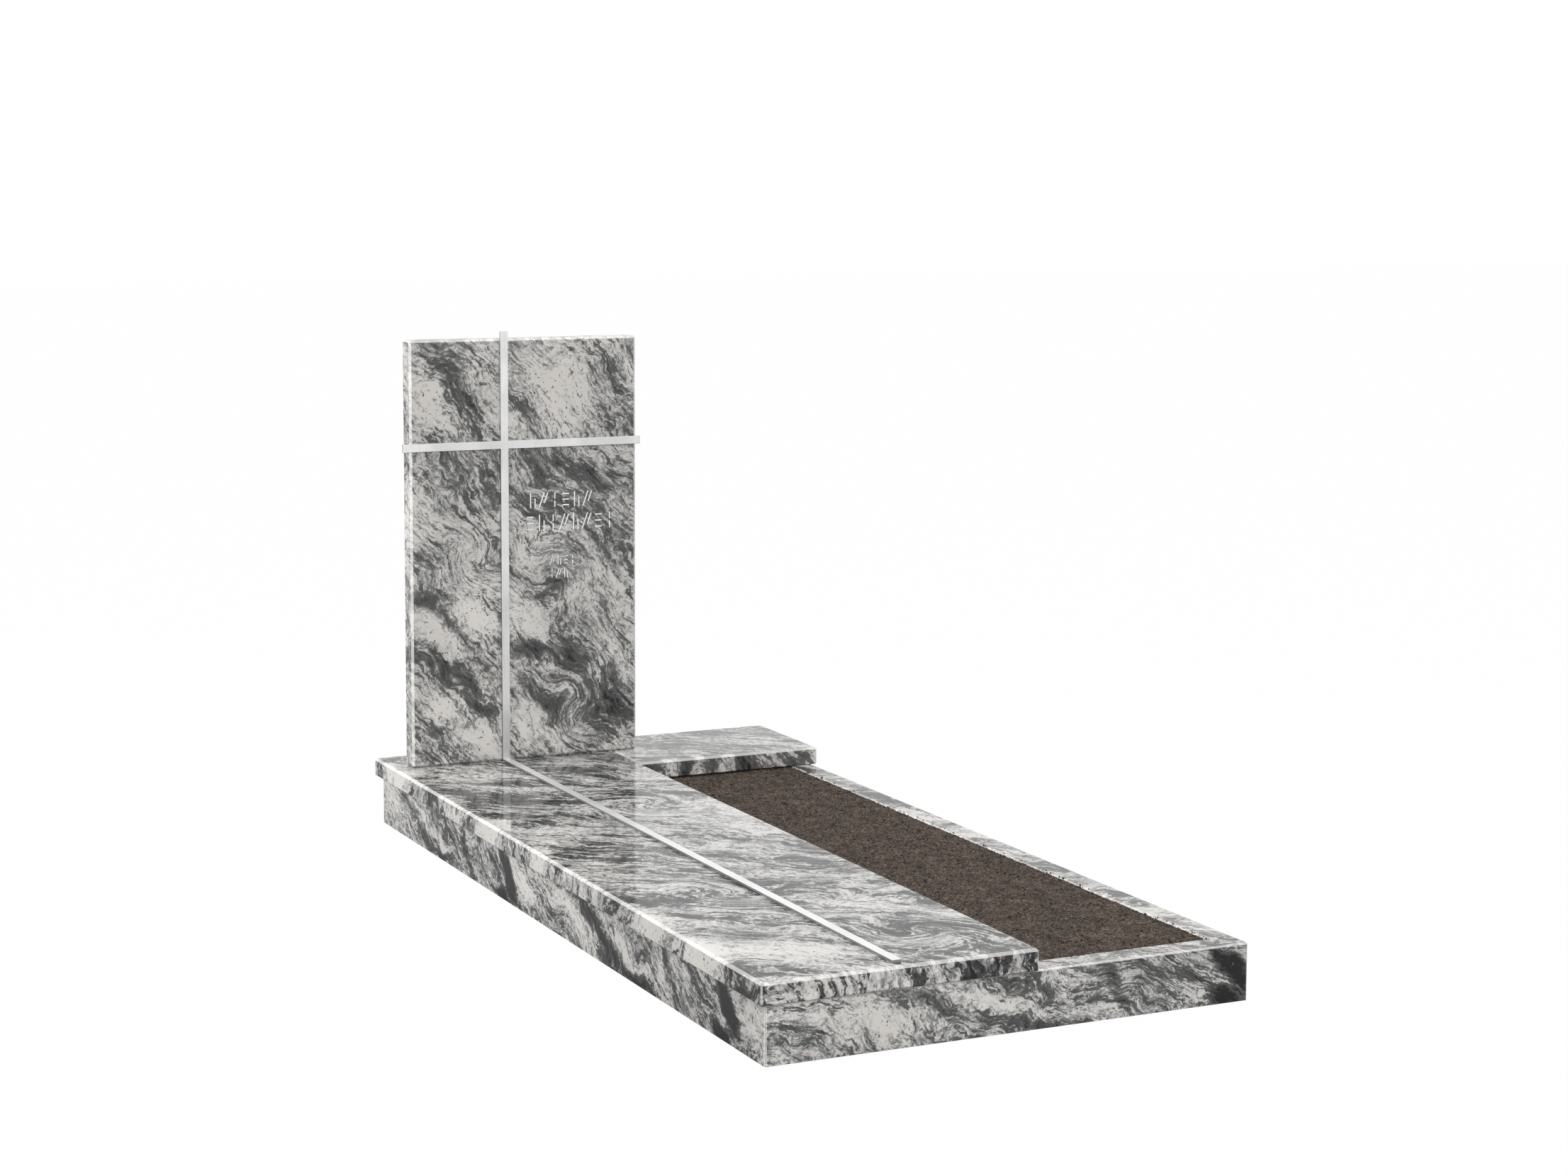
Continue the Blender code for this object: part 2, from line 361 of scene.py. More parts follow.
def makeGraniteGroup(tones, sizes, levels):
    tree, start, end = startGroup(
        "layeredGranite",
        [
            ("Layers", "NodeSocketVector"),
            ("Folded", "NodeSocketVector"),
            ("Place", "NodeSocketVector"),
            ("Darkening", "NodeSocketFloat"),
            ("Depth", "NodeSocketFloat"),
        ],
        [("Color", "NodeSocketColor"), ("Mica", "NodeSocketFloat"), ("Grain", "NodeSocketFloat")],
    )
    place, layers, folded = start.outputs["Place"], start.outputs["Layers"], start.outputs["Folded"]
    darkening = start.outputs["Darkening"]
    inputs = {"Vector": place, "Scale": sizes["crystalScale"]}
    cells = addNode(tree, "ShaderNodeTexVoronoi", inputs, feature="F1").outputs["Color"]
    # short dashes of mica, half as long again as they are wide, that follow the layers
    inputs = {0: layers, 1: sizes["dashSquash"]}
    dashed = addNode(tree, "ShaderNodeVectorMath", inputs, operation="MULTIPLY").outputs[0]
    textures = {
        "broad": addNoise(tree, layers, *sizes["broad"]),
        "streaks": addNoise(tree, layers, *sizes["streaks"]),
        "clouds": addNoise(tree, folded, *sizes["clouds"]),
        "mottle": addNoise(tree, folded, *sizes["mottle"]),
        "crystal": addNode(tree, "ShaderNodeSeparateColor", {"Color": cells}).outputs[0],
        "dashes": addNoise(tree, dashed, *sizes["dashes"]),
        "threads": addNoise(tree, layers, *sizes["threads"]),
    }
    # the ground: cream, peppered with grey
    ground = addMath(tree, "MULTIPLY_ADD", darkening, levels["groundDarkening"], levels["groundStart"])
    ground = pullLevel(tree, textures, groundPulls, ground)
    colour = addRamp(tree, ground, [
        (0.43, tones["cream"]),
        (0.53, tones["paleGrey"]),
        (0.61, tones["ashGrey"]),
        (0.70, tones["midGrey"]),
        (0.83, tones["darkGrey"]),
    ])
    # thin veins, which fade out in the pale pools
    unveined = addRange(tree, ground, *levels["veinFade"], 0.0, levels["veinStrength"])
    for scale, width, shift in sizes["veins"]:
        veinPlace = addVectors(tree, layers, (shift, 0.0, 0.0))
        veinNoise = addNoise(tree, veinPlace, scale, *sizes["veinDetail"])
        fromVein = addMath(tree, "ABSOLUTE", addMath(tree, "SUBTRACT", veinNoise, 0.5))
        vein = addMath(tree, "MULTIPLY", addRange(tree, fromVein, 0.0, width, 1.0, 0.0), unveined)
        colour = addMix(tree, vein, colour, (*tones["veinGrey"], 1.0))
    # dark bands with ragged, clear edges
    band = addMath(tree, "MULTIPLY_ADD", darkening, levels["bandDarkening"], levels["bandStart"])
    band = pullLevel(tree, textures, bandPulls, band)
    inBand = addRange(tree, band, *levels["bandEdge"])
    depth = addMath(tree, "ADD", band, start.outputs["Depth"])
    depth = addMath(tree, "MULTIPLY_ADD", textures["crystal"], levels["crystalTint"], depth)
    bandColour = addRamp(tree, depth, [
        (0.57, tones["midGrey"]),
        (0.67, tones["darkGrey"]),
        (0.80, tones["slate"]),
        (0.90, tones["charcoal"]),
    ])
    colour = addMix(tree, inBand, colour, bandColour)
    # sparse dark flecks in the pale ground, and a few pink feldspar grains
    fleck = addRange(tree, addNoise(tree, place, *sizes["flecks"]), *levels["fleckEdge"])
    fleck = addMath(tree, "MULTIPLY", fleck, levels["fleckStrength"])
    colour = addMix(tree, fleck, colour, (*tones["slate"], 1.0))
    pinkNoise = addNoise(tree, addVectors(tree, place, levels["pinkPlace"]), *sizes["pinkSpots"])
    pinkSpot = addRange(tree, pinkNoise, *levels["pinkEdge"])
    colour = addMix(tree, addMath(tree, "MULTIPLY", pinkSpot, levels["pinkStrength"]), colour, tones["pink"])
    # slow drift between warmer and greyer ground
    driftNoise = addNoise(tree, place, *sizes["drift"])
    drift = addRange(tree, driftNoise, *levels["driftEdge"], *levels["driftTones"])
    colour = addMix(tree, 1.0, colour, drift, "MULTIPLY")
    tree.links.new(colour, end.inputs["Color"])
    tree.links.new(inBand, end.inputs["Mica"])
    tree.links.new(textures["dashes"], end.inputs["Grain"])
    return tree


foldGroup = makeFoldGroup(foldSizes)
graniteGroup = makeGraniteGroup(graniteTones, grainSizes, graniteLevels)


# the way each kind of face is measured: axis along it, axis up it, axis to turn about, sign of a turn
frontFace = (0, 2, 1, -1.0)
leftFace = (1, 2, 0, 1.0)
topFace = (0, 1, 2, 1.0)
throughStone = 1000.0  # metres, so that a patch or swirl runs right through


def placeOnFace(corner, face, reach, height, long, wide):
    along, up = face[:2]
    centre = corner.copy()
    centre[along] += reach
    centre[up] += height
    size = Vector((throughStone, throughStone, throughStone))
    size[along], size[up] = long, wide
    return centre, size


def addPatches(tree, ragged, corner, face, patches):
    # each patch: along, up, long, wide, lean in degrees, darkening; measured from the face's corner
    turnAxis, turnSign = face[2:]
    total = 0.0
    for reach, height, long, wide, lean, strength in patches:
        centre, size = placeOnFace(corner, face, reach, height, long / 2, wide / 2)
        turn = Vector((0.0, 0.0, 0.0))
        turn[turnAxis] = math.radians(lean) * turnSign
        inputs = {"Vector": ragged, "Location": centre, "Rotation": turn, "Scale": size}
        local = addNode(tree, "ShaderNodeMapping", inputs, vector_type="TEXTURE").outputs[0]
        falloff = addNode(tree, "ShaderNodeTexGradient", {"Vector": local}, gradient_type="SPHERICAL")
        total = addMath(tree, "MULTIPLY_ADD", falloff.outputs["Fac"], strength, total)
    return total


def addSwirls(tree, place, corner, face, swirls):
    # each swirl: along, up, radius, turn in degrees
    turnAxis, turnSign = face[2:]
    axisName = "XYZ"[turnAxis] + "_AXIS"
    for reach, height, radius, turn in swirls:
        centre, size = placeOnFace(corner, face, reach, height, radius, radius)
        inputs = {"Vector": place, "Location": centre, "Scale": size}
        local = addNode(tree, "ShaderNodeMapping", inputs, vector_type="TEXTURE").outputs[0]
        inputs = {"Vector": local}
        falloff = addNode(tree, "ShaderNodeTexGradient", inputs, gradient_type="QUADRATIC_SPHERE")
        angle = addMath(tree, "MULTIPLY", falloff.outputs["Fac"], math.radians(turn) * turnSign)
        inputs = {"Vector": place, "Center": centre, "Angle": angle}
        place = addNode(tree, "ShaderNodeVectorRotate", inputs, rotation_type=axisName).outputs[0]
    return place


stoneFinish = {
    "layerStretch": 6.0,
    # the honed chamfers: their roughness is the honed finish, their paler tone partly the finish and partly a
    # painted highlight
    "honedHighlightTone": (0.86, 0.85, 0.83, 1.0),
    "honedHighlightPaling": 0.42,
    "honedRoughness": 0.22,
    # painted shade in the headstone's strokes: how far their walls and floors are darkened
    "strokeShadeDarkening": 0.8,
    "reliefStrength": 0.02,
    "reliefDepth": 0.0003,
}


def makeGranite(name, node, face, look, finish):
    material, tree, shader, place = startMaterial(name)
    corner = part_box(node)[0]
    folds = addGroup(tree, foldGroup, {"Place": place, "Offset": look["offset"]})
    swirled = addSwirls(tree, place, corner, face, look.get("swirls", []))
    folded = addVectors(tree, swirled, folds.outputs["Folding"])
    # folded before it is stretched, so that the layers bend and keep their thickness
    thick = look["layerThickness"]
    stretched = thick * finish["layerStretch"]
    inputs = {
        "Vector": folded,
        "Rotation": Vector((1.0, 0.0, 0.0)).rotation_difference(Vector(look["layerNormal"])).to_euler(),
        "Scale": (thick, stretched, stretched),
        "Location": look["offset"],
    }
    layers = addNode(tree, "ShaderNodeMapping", inputs, vector_type="TEXTURE").outputs[0]
    patches = addPatches(tree, folds.outputs["Ragged"], corner, face, look["patches"])
    stone = addGroup(tree, graniteGroup, {
        "Layers": layers,
        "Folded": folded,
        "Place": place,
        "Darkening": addMath(tree, "ADD", patches, look["darkness"]),
        "Depth": look["bandDepth"],
    })
    # chamfers are only honed, so they are duller than the polished faces; they are also painted paler, partly
    # the honed finish's own paler tone and partly a painted highlight of the bright surroundings they mirror
    honedAndHighlighted = addNode(tree, "ShaderNodeAttribute", attribute_name="honedAndHighlighted").outputs["Fac"]
    paler = addMath(tree, "MULTIPLY", honedAndHighlighted, finish["honedHighlightPaling"])
    colour = addMix(tree, paler, stone.outputs["Color"], finish["honedHighlightTone"])
    # painted shade: the walls and floors of the cut strokes are painted near black around their inlay,
    # standing in for the shade in these narrow recesses
    strokeShade = addNode(tree, "ShaderNodeAttribute", attribute_name="strokeShade").outputs["Fac"]
    darker = addMath(tree, "MULTIPLY", strokeShade, finish["strokeShadeDarkening"])
    colour = addMix(tree, darker, colour, (*graniteTones["charcoal"], 1.0))
    tree.links.new(colour, shader.inputs["Base Color"])
    # mica takes the polish a little less well than the quartz and feldspar
    polish = addRange(tree, stone.outputs["Mica"], 0.0, 1.0, *look["roughness"])
    roughness = addMath(tree, "MULTIPLY_ADD", honedAndHighlighted, finish["honedRoughness"], polish)
    tree.links.new(roughness, shader.inputs["Roughness"])
    relief = {
        "Height": stone.outputs["Grain"],
        "Strength": finish["reliefStrength"],
        "Distance": finish["reliefDepth"],
    }
    tree.links.new(addNode(tree, "ShaderNodeBump", relief).outputs["Normal"], shader.inputs["Normal"])
    shader.inputs["IOR"].default_value = look["ior"]
    return material


# Stones: each is a copy of its solid with its sharp arrises eased, as they are after polishing

sharpAngle = math.radians(20.0)
flatAngle = math.radians(1.0)
joinDistance = 1e-5
squareOn = 0.985  # a face whose normal leans further from the axes is a chamfer or an eased arris
strokeWallDepth = 0.0013  # below the headstone's face
strokeFloorDepths = (0.0005, 0.003)


def isStrokeFloor(face, front):
    lowest, deepest = strokeFloorDepths
    return face.normal.y < -0.9 and lowest < face.calc_center_median().y - front < deepest


def isStrokeWall(face, front):
    return abs(face.normal.y) < 0.1 and face.calc_center_median().y - front < strokeWallDepth


def copySolid(node, joinFlat=True):
    bm = bmesh.new()
    bm.from_mesh(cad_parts[node].data)
    bmesh.ops.remove_doubles(bm, verts=bm.verts, dist=joinDistance)
    if joinFlat:
        bmesh.ops.dissolve_limit(bm, angle_limit=flatAngle, verts=bm.verts, edges=bm.edges)
    return bm


def easedCopy(node, name, ease, shortest=0.0):
    # edges up to the shortest length stay crisp: those of the headstone's strokes
    bm = copySolid(node, shortest == 0.0)
    bmesh.ops.recalc_face_normals(bm, faces=bm.faces)
    arrises = []
    for edge in bm.edges:
        if edge.is_manifold and edge.calc_face_angle() > sharpAngle and edge.calc_length() > shortest:
            arrises.append(edge)
    bmesh.ops.bevel(
        bm,
        geom=arrises,
        offset=ease,
        offset_type="OFFSET",
        segments=2,
        profile=0.5,
        affect="EDGES",
        material=-1,
        clamp_overlap=True,
    )
    honedAndHighlighted = bm.loops.layers.float.new("honedAndHighlighted")
    strokeShade = bm.loops.layers.float.new("strokeShade")
    front = min(vert.co.y for vert in bm.verts)
    for face in bm.faces:
        # chamfers and eased arrises that don't face down are honed and get the painted highlight; those
        # facing down are left unpainted, as they lie in shade
        slanted = max(abs(part) for part in face.normal) < squareOn and face.normal.z > -0.1
        # the strokes' walls and floors, which take the painted shade of these recesses
        inStroke = shortest > 0.0 and (isStrokeFloor(face, front) or isStrokeWall(face, front))
        for loop in face.loops:
            loop[honedAndHighlighted] = 1.0 if slanted else 0.0
            loop[strokeShade] = 1.0 if inStroke else 0.0
    return meshObject(name, bm)


def addStone(node, name, ease, material, shortest=0.0):
    stone = easedCopy(node, name, ease, shortest)
    stone.data.materials.append(material)
    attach(stone, "root")
    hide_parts(node)


# bandDepth darkens the bands' colour alone, and a patch's numbers are: along, up, long, wide, lean, darkening
headstoneLook = {
    "offset": (3.7, 1.2, 8.4),
    "layerNormal": (0.70, -0.35, 0.62),
    "layerThickness": 1.0,
    "bandDepth": 0.0,
    "darkness": 0.030,
    "roughness": (0.07, 0.16),
    "ior": 1.45,
    "ease": 0.0006,
    "shortestEdge": 0.045,  # that is eased, which leaves the strokes crisp
    "patches": [
        (0.115, 0.885, 0.42, 0.13, -60.0, 0.22),  # band from the top left corner to the cross
        (0.065, 0.850, 0.20, 0.12, -45.0, -0.20),  # pale pool left of it
        (0.280, 0.850, 0.20, 0.07, -62.0, 0.20),  # its other side, right of the upright
        (0.350, 0.890, 0.34, 0.20, -70.0, -0.24),  # pale field at the top
        (0.515, 0.945, 0.16, 0.16, 0.0, 0.14),
        (0.410, 0.685, 0.30, 0.10, -18.0, 0.20),  # dark blot under the arm
        (0.490, 0.735, 0.20, 0.05, -10.0, -0.16),
        (0.385, 0.455, 0.18, 0.13, 0.0, 0.20),  # greyer ground behind the strokes
        (0.350, 0.600, 0.22, 0.12, 0.0, 0.15),
        (0.050, 0.510, 0.12, 0.13, -80.0, 0.18),
        (0.035, 0.395, 0.11, 0.05, -20.0, 0.34),  # thick band on the left
        (0.085, 0.345, 0.15, 0.05, -58.0, 0.34),
        (0.155, 0.250, 0.20, 0.05, -48.0, 0.32),
        (0.050, 0.315, 0.16, 0.11, -40.0, -0.42),  # pale pools beside it
        (0.165, 0.345, 0.16, 0.08, -30.0, -0.34),
        (0.295, 0.330, 0.15, 0.12, 0.0, -0.42),
        (0.045, 0.262, 0.13, 0.045, -33.0, 0.32),  # cusped band under the pool
        (0.105, 0.233, 0.09, 0.045, 0.0, 0.28),
        (0.137, 0.190, 0.12, 0.05, -80.0, 0.30),
        (0.175, 0.132, 0.11, 0.05, -25.0, 0.28),
        (0.075, 0.145, 0.17, 0.13, 0.0, -0.38),  # pale foot
        (0.190, 0.055, 0.11, 0.12, 0.0, -0.32),
        (0.290, 0.080, 0.12, 0.16, 0.0, -0.24),
        (0.050, 0.090, 0.20, 0.035, -62.0, 0.15),
        (0.110, 0.060, 0.12, 0.10, 0.0, -0.16),
        (0.290, 0.268, 0.15, 0.04, -8.0, 0.28),
        (0.405, 0.235, 0.11, 0.07, -35.0, 0.46),  # black patch
        (0.305, 0.160, 0.12, 0.06, -40.0, 0.28),
        (0.370, 0.120, 0.12, 0.12, 0.0, 0.14),
        (0.500, 0.110, 0.18, 0.22, 20.0, 0.26),  # dark corner
        (0.420, 0.170, 0.50, 0.46, 0.0, 0.12),
        (0.420, 0.880, 0.50, 0.40, 0.0, -0.08),
    ],
    "swirls": [  # along, up, radius, turn
        (0.150, 0.500, 0.10, 150.0),
        (0.330, 0.445, 0.15, -100.0),
        (0.420, 0.120, 0.12, 110.0),
    ],
}

ledgerLook = {
    "offset": (7.9, 4.6, 2.3),
    "layerNormal": (0.60, 0.66, 0.45),
    "layerThickness": 1.15,
    "bandDepth": 0.16,
    "darkness": 0.058,
    "roughness": (0.03, 0.07),
    "ior": 1.36,
    "ease": 0.0006,
    "patches": [
        (0.13, 1.62, 0.50, 0.34, -25.0, 0.12),
        (0.14, 1.74, 0.34, 0.07, -30.0, 0.26),
        (0.16, 1.52, 0.40, 0.06, -28.0, 0.24),
        (0.28, 1.62, 0.34, 0.07, -26.0, -0.26),
        (0.42, 1.52, 0.36, 0.08, -24.0, 0.22),
        (0.24, 0.80, 0.50, 0.06, -24.0, 0.16),
        (0.14, 1.17, 0.36, 0.05, -30.0, 0.18),
        (0.12, 1.38, 0.40, 0.06, -32.0, 0.20),
        (0.08, 1.31, 0.34, 0.05, -32.0, 0.20),
        (0.10, 1.22, 0.24, 0.16, -20.0, -0.16),
        (0.09, 1.06, 0.36, 0.06, -34.0, 0.20),
        (0.13, 0.93, 0.36, 0.05, -30.0, 0.20),
        (0.42, 1.80, 0.30, 0.10, -20.0, 0.22),
        (0.40, 1.00, 0.30, 0.34, 0.0, -0.12),
        (0.40, 0.70, 0.22, 0.12, -15.0, 0.12),
        (0.42, 0.46, 0.30, 0.30, 0.0, -0.16),
        (0.14, 0.58, 0.30, 0.12, -40.0, 0.10),
        (0.12, 0.30, 0.34, 0.10, -35.0, 0.18),
        (0.14, 0.15, 0.34, 0.22, -10.0, -0.34),
        (0.42, 0.22, 0.24, 0.08, -10.0, 0.08),
        (0.40, 0.12, 0.26, 0.10, -15.0, -0.18),
        (0.0, 2.095, 0.08, 0.08, 0.0, 0.14),  # blocks of tone along its left side
        (0.0, 1.967, 0.10, 0.24, 0.0, -0.34),
        (0.0, 1.600, 0.10, 0.24, 0.0, -0.32),
        (0.0, 1.351, 0.10, 0.20, 0.0, -0.42),
        (0.0, 1.207, 0.08, 0.13, 0.0, 0.24),
        (0.0, 1.072, 0.10, 0.12, 0.0, -0.36),
        (0.0, 0.495, 0.10, 0.26, 0.0, -0.34),
        (0.0, 0.231, 0.10, 0.21, 0.0, -0.42),
        (0.0, 0.085, 0.06, 0.11, 0.0, 0.20),
    ],
    "swirls": [
        (0.38, 1.40, 0.18, 130.0),
        (0.42, 0.20, 0.16, -150.0),
        (0.20, 0.60, 0.16, 120.0),
    ],
}

backSlabLook = {
    "offset": (1.3, 9.2, 5.5),
    "layerNormal": (0.62, 0.60, 0.50),
    "layerThickness": 1.5,
    "bandDepth": 0.0,
    "darkness": 0.085,
    "roughness": (0.03, 0.07),
    "ior": 1.36,
    "ease": 0.0006,
    "patches": [
        (0.22, 0.16, 0.30, 0.10, -15.0, 0.08),
        (0.020, 0.0, 0.06, 0.06, 0.0, 0.16),  # pale and dark blots along its front
        (0.075, 0.0, 0.09, 0.06, 0.0, -0.30),
        (0.118, 0.0, 0.04, 0.06, 0.0, 0.34),
        (0.145, 0.0, 0.05, 0.06, 0.0, -0.26),
        (0.190, 0.0, 0.05, 0.06, 0.0, 0.34),
        (0.223, 0.0, 0.06, 0.06, 0.0, -0.26),
        (0.275, 0.0, 0.08, 0.07, 0.0, 0.26),
        (0.345, 0.0, 0.12, 0.07, 0.0, 0.02),
        (0.430, 0.0, 0.10, 0.10, -40.0, 0.14),
    ],
}

# the kerb stones repeat one run of bands
kerbBands = [
    (0.210, 0.060, 0.26, 0.10, -25.0, -0.28),
    (0.290, 0.090, 0.14, 0.05, -20.0, 0.30),  # the thick band, in four lengths
    (0.365, 0.060, 0.14, 0.055, -28.0, 0.34),
    (0.450, 0.030, 0.16, 0.055, -18.0, 0.34),
    (0.570, 0.010, 0.22, 0.04, -5.0, 0.32),
    (0.470, 0.062, 0.26, 0.03, -18.0, -0.20),
    (0.550, 0.075, 0.30, 0.07, -15.0, 0.08),
    (0.700, 0.075, 0.10, 0.045, -65.0, 0.30),
    (0.735, 0.025, 0.10, 0.045, -50.0, 0.28),
    (0.820, 0.055, 0.16, 0.12, -20.0, 0.06),
    (0.950, 0.085, 0.11, 0.06, -40.0, 0.80),  # black patches
    (0.985, 0.045, 0.12, 0.06, -50.0, 0.80),
    (0.945, 0.010, 0.12, 0.05, -15.0, 0.76),
    (1.085, 0.060, 0.16, 0.12, 0.0, -0.26),
]


def bandsFrom(starts, way, strength=1.0):
    placed = []
    for start in starts:
        for along, up, long, wide, lean, darkening in kerbBands:
            placed.append((start + way * along, up, long, wide, lean * way, darkening * strength))
    return placed


kerbFrontLook = {
    "offset": (5.1, 2.2, 6.6),
    "layerNormal": (0.40, 0.50, 0.80),
    "layerThickness": 0.65,
    "bandDepth": 0.03,
    "darkness": 0.055,
    "roughness": (0.12, 0.24),
    "ior": 1.40,
    "ease": 0.0005,
    "patches": bandsFrom([0.0], 1),
}

kerbLeftLook = {
    "offset": (2.4, 7.7, 3.1),
    "layerNormal": (0.40, -0.40, 0.82),
    "layerThickness": 0.8,
    "bandDepth": 0.1,
    "darkness": 0.055,
    "roughness": (0.12, 0.24),
    "ior": 1.40,
    "ease": 0.0005,
    "patches": bandsFrom([2.226, 1.118], -1) + [(0.45, 0.05, 0.44, 0.16, 0.0, -0.12)],
}

kerbRightLook = {
    "offset": (8.8, 0.9, 1.1),
    "layerNormal": (0.40, 0.45, 0.80),
    "layerThickness": 1.3,
    "bandDepth": 0.05,
    "darkness": 0.045,
    "roughness": (0.08, 0.20),
    "ior": 1.36,
    "ease": 0.0005,
    "patches": bandsFrom([-0.30, 0.82], 1, 0.8),
}

kerbBackLook = {
    "offset": (0.6, 3.3, 9.9),
    "layerNormal": (-0.40, 0.50, 0.80),
    "layerThickness": 1.0,
    "bandDepth": 0.05,
    "darkness": 0.02,
    "roughness": (0.12, 0.24),
    "ior": 1.40,
    "ease": 0.0005,
    "patches": bandsFrom([0.75, 1.85], -1, 0.9),
}

stones = [
    ("headstone", "headstone_polished", "headstoneGranite", frontFace, headstoneLook),
    ("ledger_slab", "ledger_slab_polished", "ledgerGranite", topFace, ledgerLook),
    ("back_slab", "back_slab_polished", "backSlabGranite", topFace, backSlabLook),
    ("kerb_front", "kerb_front_polished", "kerbFrontGranite", frontFace, kerbFrontLook),
    ("kerb_left", "kerb_left_polished", "kerbLeftGranite", leftFace, kerbLeftLook),
    ("kerb_right", "kerb_right_polished", "kerbRightGranite", leftFace, kerbRightLook),
    ("kerb_back", "kerb_back_polished", "kerbBackGranite", frontFace, kerbBackLook),
]
for node, name, materialName, face, look in stones:
    granite = makeGranite(materialName, node, face, look, stoneFinish)
    addStone(node, name, look["ease"], granite, look.get("shortestEdge", 0.0))
print("granite stones finished:", len(stones))


# Metal: the cross, the bar on the ledger slab and the inlay in the headstone's strokes

metalLook = {
    "colour": (0.88, 0.88, 0.875, 1.0),
    "shade": (0.80, 0.80, 0.795, 1.0),
    # painted shade: the colour that the cut sides of the cross and bar are painted, for the dark surroundings
    # they mirror
    "paintedSideShade": (0.30, 0.30, 0.30, 1.0),
    # painted reflection of the ledger slab on the upright: heights over which it fades out, and its darkening
    # at the foot
    "paintedReflectionHeights": (0.155, 0.380),
    "paintedReflectionShade": 0.62,
    "metallic": 0.55,
    "roughness": (0.30, 0.42),
    "brushScale": 700.0,
    "brushStretch": 60.0,
    "brushTint": 0.5,
    "hazeScale": 9.0,
    "hazeEdge": (0.3, 0.7),
    "reliefStrength": 0.01,
    "reliefDepth": 0.00005,
    "ease": 0.0002,
}


def makeBrushedMetal(name, stretchAxis, look, paintedFootReflection=False):
    material, tree, shader, place = startMaterial(name)
    stretched = [look["brushScale"]] * 3
    stretched[stretchAxis] /= look["brushStretch"]
    mapped = addNode(tree, "ShaderNodeMapping", {"Vector": place, "Scale": stretched}).outputs[0]
    brush = addNoise(tree, mapped, 1.0, 2.0, 0.6)
    haze = addNoise(tree, place, look["hazeScale"], 3.0, 0.6)
    tone = addMath(tree, "MULTIPLY_ADD", addMath(tree, "SUBTRACT", brush, 0.5), look["brushTint"], haze)
    colour = addMix(tree, addRange(tree, tone, *look["hazeEdge"]), look["shade"], look["colour"])
    # the brushed face is bright; the cut sides are painted dark grey, a painted shade standing in for the
    # dark surroundings they mirror
    sideShadeMask = addNode(tree, "ShaderNodeAttribute", attribute_name="paintedSideShade").outputs["Fac"]
    colour = addMix(tree, sideShadeMask, colour, look["paintedSideShade"])
    if paintedFootReflection:  # painted reflection: the upright's colour darkens towards its foot, where it mirrors the dark ledger slab
        height = addNode(tree, "ShaderNodeSeparateXYZ", {0: place}).outputs["Z"]
        shade = addRange(tree, height, *look["paintedReflectionHeights"], look["paintedReflectionShade"], 1.0)
        colour = addMix(tree, 1.0, colour, shade, "MULTIPLY")
    tree.links.new(colour, shader.inputs["Base Color"])
    roughness = addRange(tree, tone, *look["hazeEdge"], *look["roughness"])
    tree.links.new(roughness, shader.inputs["Roughness"])
    relief = {"Height": brush, "Strength": look["reliefStrength"], "Distance": look["reliefDepth"]}
    tree.links.new(addNode(tree, "ShaderNodeBump", relief).outputs["Normal"], shader.inputs["Normal"])
    shader.inputs["Metallic"].default_value = look["metallic"]
    return material


def addMetal(node, name, faceAxis, material, ease):
    piece = easedCopy(node, name, ease)
    # the cut sides, which get the painted shade
    sideShadeLayer = piece.data.attributes.new("paintedSideShade", "FLOAT", "CORNER")
    for polygon in piece.data.polygons:
        if abs(polygon.normal[faceAxis]) < 0.5:
            for loop in polygon.loop_indices:
                sideShadeLayer.data[loop].value = 1.0
    piece.data.materials.append(material)
    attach(piece, "root")
    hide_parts(node)


# the upright gets the painted reflection of the ledger slab at its foot
brushedUpright = makeBrushedMetal("brushedUpright", 2, metalLook, True)
brushedLedgerBar = makeBrushedMetal("brushedLedgerBar", 1, metalLook)
addMetal("cross", "cross_brushed", 1, brushedUpright, metalLook["ease"])
addMetal("ledger_bar", "ledger_bar_brushed", 2, brushedLedgerBar, metalLook["ease"])

inlayLook = {
    "clearance": 0.0002,
    "thickness": 0.0009,
    "colour": (0.96, 0.96, 0.95, 1.0),
    "shade": (0.88, 0.88, 0.87, 1.0),
    "hazeScale": 60.0,
    "metallic": 0.2,
    "roughness": 0.34,
}


def addInlay(look):
    # the floors of the headstone's strokes, raised almost to its face
    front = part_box("headstone")[0].y
    bm = copySolid("headstone")
    floors = {face for face in bm.faces if isStrokeFloor(face, front)}
    others = [face for face in bm.faces if face not in floors]
    bmesh.ops.delete(bm, geom=others, context="FACES")
    bmesh.ops.inset_individual(bm, faces=bm.faces, thickness=look["clearance"], use_even_offset=True)
    rims = [face for face in bm.faces if face not in floors]
    bmesh.ops.delete(bm, geom=rims, context="FACES")
    raised = bmesh.ops.extrude_face_region(bm, geom=list(bm.faces), use_keep_orig=True)
    moved = [item for item in raised["geom"] if isinstance(item, bmesh.types.BMVert)]
    bmesh.ops.translate(bm, verts=moved, vec=(0.0, -look["thickness"], 0.0))
    bmesh.ops.recalc_face_normals(bm, faces=bm.faces)
    inlay = meshObject("stroke_inlay", bm)
    material, tree, shader, place = startMaterial("silverInlay")
    haze = addNoise(tree, place, look["hazeScale"], 2.0, 0.5)
    colour = addMix(tree, haze, look["shade"], look["colour"])
    tree.links.new(colour, shader.inputs["Base Color"])
    shader.inputs["Metallic"].default_value = look["metallic"]
    shader.inputs["Roughness"].default_value = look["roughness"]
    inlay.data.materials.append(material)
    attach(inlay, "root")
    print("strokes inlaid:", len(floors))


addInlay(inlayLook)
print("metal finished")


# Soil: a rough surface over the whole bed, with loose crumbs on it and at the kerb's inner edge

